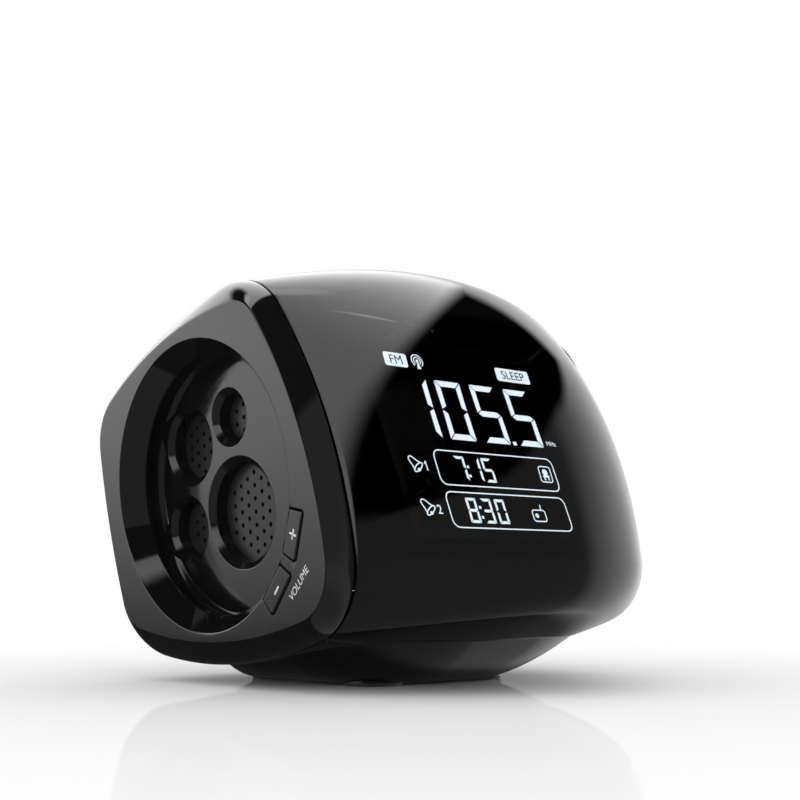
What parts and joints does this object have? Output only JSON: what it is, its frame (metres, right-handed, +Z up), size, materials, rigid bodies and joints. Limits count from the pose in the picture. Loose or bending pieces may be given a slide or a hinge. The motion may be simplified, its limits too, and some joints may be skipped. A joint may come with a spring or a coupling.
{
  "type": "projection alarm clock",
  "caption": "Table clock radio with a bulged gloss case, a display behind the front, a speaker with round ports in one end and a turning time projector in the other.",
  "frame": {"origin": "on the table, under the middle of the overall width and depth", "axes": "+X to the projector end, +Y to the rear, +Z up"},
  "size_m": [0.1513, 0.1533, 0.1238],
  "materials": {
    "front_gloss": "high gloss, smoke tinted",
    "case_gloss": "gloss black",
    "cap_gloss": "gloss graphite",
    "cup_satin": "satin grey",
    "grille": "fine perforated, matt black",
    "key_gloss": "gloss",
    "drum_gloss": "gloss black",
    "inner_plastic": "matt black moulding",
    "white_plastic": "matt white moulding",
    "rubber": "matt",
    "circuit_board": "solder mask",
    "electronics": "moulded packages",
    "steel": "zinc plated",
    "ferrite": "sintered",
    "copper": "wound wire",
    "paper_cone": "pressed pulp",
    "clear_glass": "polished",
    "display_glass": "liquid crystal cell"
  },
  "bodies": {
    "case": {"aux_socket": "inner_plastic", "base_shell": "case_gloss", "battery_holder": "inner_plastic", "board_components": "electronics", "case_screws": "steel", "display_board": "circuit_board", "foot_left_front": "rubber", "foot_left_rear": "rubber", "foot_right_front": "rubber", "foot_right_rear": "rubber", "front_shell": "front_gloss", "key_board": "circuit_board", "key_panel": "case_gloss", "key_switches": "electronics", "lcd_backlight": "white_plastic", "lcd_frame": "inner_plastic", "lcd_glass": "display_glass", "left_end_cap": "cap_gloss", "main_board": "circuit_board", "port_grille_large": "grille", "port_grille_lower": "grille", "port_grille_small": "grille", "port_grille_upper": "grille", "power_inlet": "inner_plastic", "projector_carrier": "cup_satin", "radio_tuner_can": "steel", "rear_cover": "case_gloss", "right_end_cap": "cap_gloss", "speaker_basket": "steel", "speaker_cone": "paper_cone", "speaker_dish": "cup_satin", "speaker_magnet": "ferrite", "speaker_surround": "rubber", "speaker_top_plate": "steel", "speaker_yoke": "steel", "voice_coil": "copper", "volume_board": "circuit_board", "volume_switches": "electronics"},
    "volume_up": {"volume_up_button": "key_gloss"},
    "volume_down": {"volume_down_button": "key_gloss"},
    "snooze": {"snooze_bar": "key_gloss"},
    "battery_drawer": {"battery_tray": "inner_plastic", "backup_cell": "steel"},
    "projector": {"projector_drum": "drum_gloss", "drum_cover": "drum_gloss", "axle_clip": "steel", "projector_barrel": "inner_plastic", "light_box": "inner_plastic", "digit_mask": "clear_glass", "condenser_lens": "clear_glass", "projector_led_board": "circuit_board"},
    "focus": {"focus_ring": "drum_gloss"},
    "lens": {"lens_cell": "inner_plastic", "projector_lens": "clear_glass"},
    "power": {"power_key": "key_gloss"},
    "source": {"source_key": "key_gloss"},
    "tune_down": {"tune_down_key": "key_gloss"},
    "tune_up": {"tune_up_key": "key_gloss"},
    "alarm_1": {"alarm_1_key": "key_gloss"},
    "alarm_2": {"alarm_2_key": "key_gloss"}
  },
  "joints": [
    {"name": "volume_up_press", "type": "slide", "parent": "case", "child": "volume_up", "axis": [0.9963, 0, 0.0854], "range_m": [0, 0.0008], "stiffness_N_per_m": 1800, "springref_m": -0.0002},
    {"name": "volume_down_press", "type": "slide", "parent": "case", "child": "volume_down", "axis": [0.9963, 0, 0.0854], "range_m": [0, 0.0008], "stiffness_N_per_m": 1800, "springref_m": -0.0002},
    {"name": "snooze_press", "type": "slide", "parent": "case", "child": "snooze", "axis": [0, -0.4085, -0.9128], "range_m": [0, 0.001], "stiffness_N_per_m": 2200, "springref_m": -0.0003},
    {"name": "power_press", "type": "slide", "parent": "case", "child": "power", "axis": [0, -0.4085, -0.9128], "range_m": [0, 0.0007], "stiffness_N_per_m": 2000, "springref_m": -0.0002},
    {"name": "source_press", "type": "slide", "parent": "case", "child": "source", "axis": [0, -0.4085, -0.9128], "range_m": [0, 0.0007], "stiffness_N_per_m": 2000, "springref_m": -0.0002},
    {"name": "tune_down_press", "type": "slide", "parent": "case", "child": "tune_down", "axis": [0, -0.4085, -0.9128], "range_m": [0, 0.0007], "stiffness_N_per_m": 2000, "springref_m": -0.0002},
    {"name": "tune_up_press", "type": "slide", "parent": "case", "child": "tune_up", "axis": [0, -0.4085, -0.9128], "range_m": [0, 0.0007], "stiffness_N_per_m": 2000, "springref_m": -0.0002},
    {"name": "alarm_1_press", "type": "slide", "parent": "case", "child": "alarm_1", "axis": [0, -0.4085, -0.9128], "range_m": [0, 0.0007], "stiffness_N_per_m": 2000, "springref_m": -0.0002},
    {"name": "alarm_2_press", "type": "slide", "parent": "case", "child": "alarm_2", "axis": [0, -0.4085, -0.9128], "range_m": [0, 0.0007], "stiffness_N_per_m": 2000, "springref_m": -0.0002},
    {"name": "battery_drawer_slide", "type": "slide", "parent": "case", "child": "battery_drawer", "axis": [0, 1, 0], "range_m": [0, 0.02]},
    {"name": "projector_turn", "type": "hinge", "parent": "case", "child": "projector", "pos_m": [0.05851, 0.018, 0.0567], "axis": [0.9963, 0, -0.0854], "range_deg": [-90, 90]},
    {"name": "focus_turn", "type": "hinge", "parent": "projector", "child": "focus", "pos_m": [0.06439, 0.018, 0.0562], "axis": [0.0841, -0.1736, 0.9812], "range_deg": [-45, 45]},
    {"name": "lens_slide", "type": "slide", "parent": "projector", "child": "lens", "axis": [0.0841, -0.1736, 0.9812], "range_m": [-0.0005, 0.0005]}
  ],
  "couplings": [
    {"joint": "focus_turn", "follows": "lens_slide", "rad_per_m": 1570.8}
  ]
}
